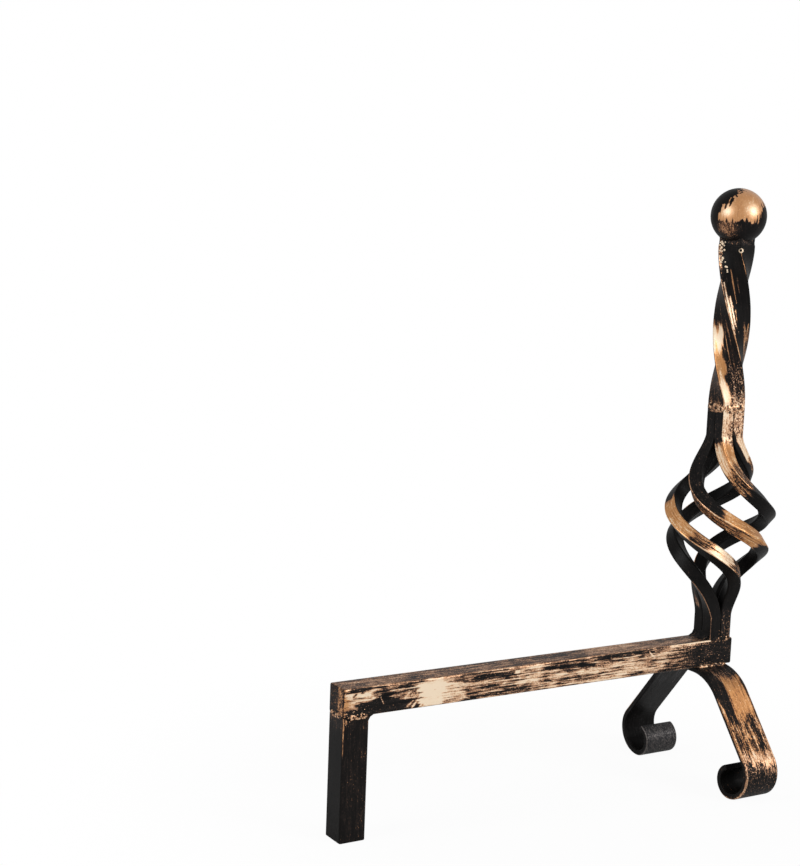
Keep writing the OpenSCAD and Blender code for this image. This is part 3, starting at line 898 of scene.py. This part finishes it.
# Painted highlights: in two caps about these directions, where the lamps are mirrored, the copper is laid paler
# towards cream
shoulder_half_angle, shoulder_soft = 13, 13
highlight_shoulders = np.array([[-0.953, 0.215, 0.30], [-0.370, 0.916, 0.214]])
ball_black = -0.15
ball_copper = (0.82, 0.25, 0.15, 0.0)
ball_painted_highlight = (1.22, 0.2, 0.1, 0.5)
painted_highlight_share = 0.8

up, turn = np.meshgrid(
    np.linspace(-np.pi / 2, np.pi / 2, ball_rows + 2)[1:-1],
    np.linspace(0, 2 * np.pi, ball_around, endpoint=False), indexing="ij",
)
ball_unit = np.stack([np.cos(up) * np.cos(turn), np.cos(up) * np.sin(turn), np.sin(up)], -1)


def cap_share(unit, towards, half_angle, soft):
    """1 inside a cap of the ball about a direction and 0 outside it, eased over the angle soft either way."""
    angle = np.degrees(np.arccos(np.clip(unit @ (towards / np.linalg.norm(towards)), -1, 1)))
    return 1 - rise(angle, half_angle - soft, half_angle + soft)


ball_points = ball_middle + ball_unit * ball_r
ball_brush = np.stack([ball_unit[..., 2], ball_unit[..., 0], ball_unit[..., 1]], -1) * ball_r
upright_hairs = np.array([9, 1.1, 1.1])
ball_fray = 0.17 * unevenness(ball_brush, upright_hairs, 70) + 0.05 * unevenness(ball_brush, 2.2, 71)
patch = rise(ball_unit[..., 2] + ball_fray, patch_floor - patch_soft, patch_floor + patch_soft)
for direction, distance in patch_planes:
    patch *= rise(distance - ball_unit @ direction + ball_fray, -patch_soft, patch_soft)
film = film_copper * cap_share(ball_unit, film_towards, film_half_angle, film_soft)
ball_paint = painted(ball_black + film, 0.45, 0.5, 0.2)
lay_over(ball_paint, ball_copper, patch)
# Lays the painted highlights over the copper patch
for highlight_towards in highlight_shoulders:
    shoulder = cap_share(ball_unit, highlight_towards, shoulder_half_angle, shoulder_soft)
    lay_over(ball_paint, ball_painted_highlight, painted_highlight_share * patch * shoulder)
ball = skin("painted_ball", (ball_points, ball_brush, ball_paint, False))
ball.data.materials.append(dry_brushed("dry_brushed_ball", offset=(0, 70, 0), streak=(0.05, 0.75), polish=0.5,
                                       gloss=1.0))
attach(ball, "root")
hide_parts("ball_finial")

# ---- Welds ----
# Stick-welded beads, hammered and partly dressed, with droplets frozen on the steel beside them.
# They are black in the hollows, and copper sits on whatever stands proud.
bead_step = 0.5
ripple_pitch, ripple_depth = 2.3, 0.16


def weld_bead(path, out, width, height, seed, copper, loop=False, lump=1.5):
    """A run of weld along a path on a surface that faces out: a low cap, half sunk, with ripples where the
    pool froze and lumps about the size lump. Its high spots carry the most copper. A loop closes on itself,
    and any other run tapers at both ends."""
    step = (np.roll(path, -1, 0) - path) if loop else np.gradient(path, axis=0)
    along = step / np.linalg.norm(step, axis=1, keepdims=True)
    travel = np.cumsum(np.linalg.norm(step, axis=1)) - np.linalg.norm(step[0])
    side = np.cross(out, along)
    angle = np.linspace(0, 2 * np.pi, 18, endpoint=False)
    rising = np.where(np.sin(angle) > 0, np.sin(angle), 0.6 * np.sin(angle))
    ripple = 1 - ripple_depth * (travel / ripple_pitch % 1)
    taper = 1 if loop else np.clip(1 - np.abs(2 * travel / travel[-1] - 1) ** 8, 0.02, 1) ** 0.5
    swell = (ripple * taper * (0.86 + 0.14 * unevenness(path, 4.0, seed)))[:, None, None]
    section = (
        side[:, None] * np.cos(angle)[None, :, None] * width / 2
        + out[:, None] * rising[None, :, None] * height
    )
    points = path[:, None] + section * swell
    lumps = unevenness(points, lump, seed + 1)
    proud = lumps * 0.16 * height * np.clip(rising, 0, 1) - 0.08 * height
    points = points + out[:, None] * proud[..., None]
    laid = copper + 0.75 * lumps + 0.12 * unevenness(points, 0.6, seed + 2)
    return points, points - path[0], painted(laid, 0.7, 2.0, 0.8), loop


def spatter(spots, facing, radius, copper):
    """Droplets of weld metal that froze where they fell: small domes of up to this radius, half sunk in a
    face that looks along facing. Each spot is the middle of one of them."""
    turn = np.linspace(0, 2 * np.pi, 8, endpoint=False)
    lift = np.radians([-70, -25, 20, 65])
    facing = np.array(facing, float)
    first = np.cross(facing, [0.3, 0.5, 0.81])
    first /= np.linalg.norm(first)
    second = np.cross(facing, first)
    shells = []
    circle = np.cos(turn)[None, :, None] * first + np.sin(turn)[None, :, None] * second
    dome = np.cos(lift)[:, None, None] * circle + 0.7 * np.sin(lift)[:, None, None] * facing
    for number, spot in enumerate(np.array(spots, float)):
        size = radius * (0.6 + 0.4 * ((number * 0.618) % 1))
        points = spot + size * dome
        shells.append((points, points, painted(np.full(points.shape[:2], copper), 0.3, 0.4, 1.0), False))
    return shells


def straight(start, end):
    """Points from start to end, a bead_step apart."""
    start, end = np.array(start, float), np.array(end, float)
    count = max(8, int(np.linalg.norm(end - start) / bead_step))
    return start + (end - start) * np.linspace(0, 1, count)[:, None]


def run(start, end, facing, seed, copper, width=5, height=0.75):
    """A straight bead between two points, on a surface that looks along facing."""
    path = straight(start, end)
    facing = np.array(facing, float) / np.linalg.norm(facing)
    return weld_bead(path, np.tile(facing, (len(path), 1)), width, height, seed, copper)


def ring(half, corner_r, bearing, z, width, height, seed, copper):
    """A closed bead round a square with rounded corners, at height z on the upright."""
    outline = square_profile(half, half, corner_r, 0.6)
    c, s = np.cos(bearing), np.sin(bearing)
    path = np.stack([
        outline[:, 0] * c - outline[:, 1] * s,
        outline[:, 0] * s + outline[:, 1] * c + post_y,
        np.full(len(outline), z),
    ], 1)
    step = np.roll(path, -1, 0) - np.roll(path, 1, 0)
    facing = np.cross(step, [0, 0, 1.0])
    facing /= np.linalg.norm(facing, axis=1, keepdims=True)
    return weld_bead(path, facing, width, height, seed, copper, loop=True, lump=2.0)


def top_droplets(places, radius, copper):
    """Droplets near the top of the twisted bar, on the side that the camera sees there, from places across
    the side, out from the axis and up from the top end."""
    z = twisted_high[2] + places[:, 2]
    turn = np.interp(z - twisted_low[2], twisted_z, twisted_bearing) + np.pi
    x = places[:, 1] * np.cos(turn) - places[:, 0] * np.sin(turn)
    y = places[:, 1] * np.sin(turn) + places[:, 0] * np.cos(turn)
    facing = twisted_bearing[-1] + np.pi
    spots = np.stack([x, y + post_y, z], 1)
    return spatter(spots, (np.cos(facing), np.sin(facing), 0), radius, copper)


def scattered(low, high, count, seed):
    """Spots between two corners of a box, spread at random in the same way on every run."""
    return np.random.default_rng(seed).uniform(low, high, (count, 3))


def fillet(start, end, wall, floor, size, seed, copper):
    """A hollow fillet between two faces, in the corner that runs from start to end: a quarter of a circle of
    radius size. wall and floor point out of the two faces, and its back is sunk in both."""
    sunk = 0.4
    path = straight(start, end)
    wall, floor = np.array(wall, float), np.array(floor, float)
    sweep = np.linspace(0, np.pi / 2, 9)
    hollow = np.stack([1 - np.sin(sweep), 1 - np.cos(sweep)], 1) * size
    section = np.concatenate([hollow, [[-sunk, size], [-sunk, -sunk], [size, -sunk]]])
    swell = 1 + 0.10 * unevenness(path, 5.0, seed)
    points = path[:, None] + swell[:, None, None] * (section[:, :1] * wall + section[:, 1:] * floor)[None]
    laid = copper + 0.5 * unevenness(points, 1.5, seed + 1)
    return points, points - path[0], painted(laid, 0.7, 1.0, 1.0), False


def neck(low_z, seed, copper):
    """The twisted bar's section carried on up to the ball and into it, as the dressed weld fills it. It is a
    little thinner than the bar, and uneven."""
    sunk, dressed_off = 0.3, 0.35
    c, s = np.cos(twisted_bearing[-1]), np.sin(twisted_bearing[-1])
    outline = bar_profile @ np.array([[c, s], [-s, c]])
    reach = np.linalg.norm(outline, axis=1)
    ball_z = ball_middle[2] - np.sqrt(ball_r ** 2 - reach ** 2) + sunk
    share = np.linspace(0, 1, 12)[:, None]
    height = low_z + (ball_z - low_z) * share
    points = np.stack([outline[:, 0] + 0 * height, outline[:, 1] + post_y + 0 * height, height], -1)
    lumps = unevenness(points, 2.2, seed)
    out = np.concatenate([outline / reach[:, None], np.zeros((len(outline), 1))], 1)
    points = points - out * (dressed_off + dressed_off * lumps * np.sin(np.pi * share))[..., None]
    return points, points - points[0, 0], painted(copper + 0.35 * lumps, 0.7, 0.8, 1.0), False


# The beads' half length and their places: the upright's seams lie just off its bundle, and those of the
# front legs in the corner between strap and log bar
run_half = 8.6
seam = 10.1
leg_y = leg_middle[1]
leg_top = leg_high[2]
seat_x, seat_z = 10.4, 88.2
weld_shells = {
    "rear_leg_weld": [
        run((-half_bar, leg_y + run_half, leg_top), (-half_bar, leg_y - run_half, leg_top),
            (-1, 0, 0), 11, 0.22),
        run((run_half, leg_y + half_bar, leg_top), (-run_half, leg_y + half_bar, leg_top),
            (0, 1, 0), 12, 0.55),
        run((half_bar, leg_y - run_half, leg_top), (half_bar, leg_y + run_half, leg_top),
            (1, 0, 0), 13, 0.20),
        fillet((-9.2, leg_y - half_bar, leg_top), (9.2, leg_y - half_bar, leg_top), (0, -1, 0), (0, 0, -1),
               3.6, 14, -0.1),
        *spatter(scattered((-half_bar, leg_y - 9, leg_top - 6), (-half_bar, leg_y + 9, leg_top + 5), 14, 1),
                 (-1, 0, 0), 0.5, 0.9),
    ],
    "front_leg_weld": [
        run((side * seat_x, strap_low[1] + 1, seat_z), (side * seat_x, strap_high[1] - 1, seat_z),
            (side, 0, 1), 20 + side, 0.5 if side < 0 else 0.1, width=4.2, height=1.9)
        for side in (-1, 1)
    ] + spatter(scattered((-half_bar, strap_low[1], 90), (-half_bar, strap_high[1] + 12, 106), 16, 2),
                (-1, 0, 0), 0.42, 0.7),
    "post_weld": [
        run((-seam, post_y + run_half, bundle_z), (-seam, post_y - run_half, bundle_z),
            (-1, 0, 0), 31, 0.15),
        run((seam, post_y - run_half, bundle_z), (seam, post_y + run_half, bundle_z), (1, 0, 0), 32, 0.1),
        fillet((9.0, post_y + seam, bundle_z), (-9.0, post_y + seam, bundle_z), (0, 1, 0), (0, 0, 1),
               5.0, 33, -0.1),
        run((-run_half, post_y - seam, bundle_z), (run_half, post_y - seam, bundle_z), (0, -1, 1), 34, 0.1,
            width=2.2, height=1.1),
        *spatter(scattered((-seam, post_y - 9, bundle_z), (-seam, post_y + 9, bundle_z + 9), 10, 3),
                 (-1, 0, 0), 0.45, 0.6),
    ],
    "collar_weld": [
        ring(half_bar, 2.6, -np.radians(basket_turn), twisted_low[2], 8.0, 1.0, 41, 0.66),
    ],
    "ball_weld": [
        neck(twisted_high[2] - 0.6, 51, 0.05),
        *top_droplets(scattered((-8.5, 10.0, -22), (-3.5, 10.0, 2), 26, 4), 1.0, 1.3),
        *top_droplets(np.array([[9.3, 9.0, -4.0]]), 3.5, 1.3),
        *top_droplets(np.array([[9.8, 10.2, -3.8]]), 1.9, -0.2),
    ],
}
for weld, shells in weld_shells.items():
    piece = skin("painted_" + weld, *shells)
    piece.data.materials.append(dry_brushed("dry_brushed_" + weld, offset=(0, 9, 0), streak=(0.5, 0.5)))
    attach(piece, "root")
    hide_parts(weld)
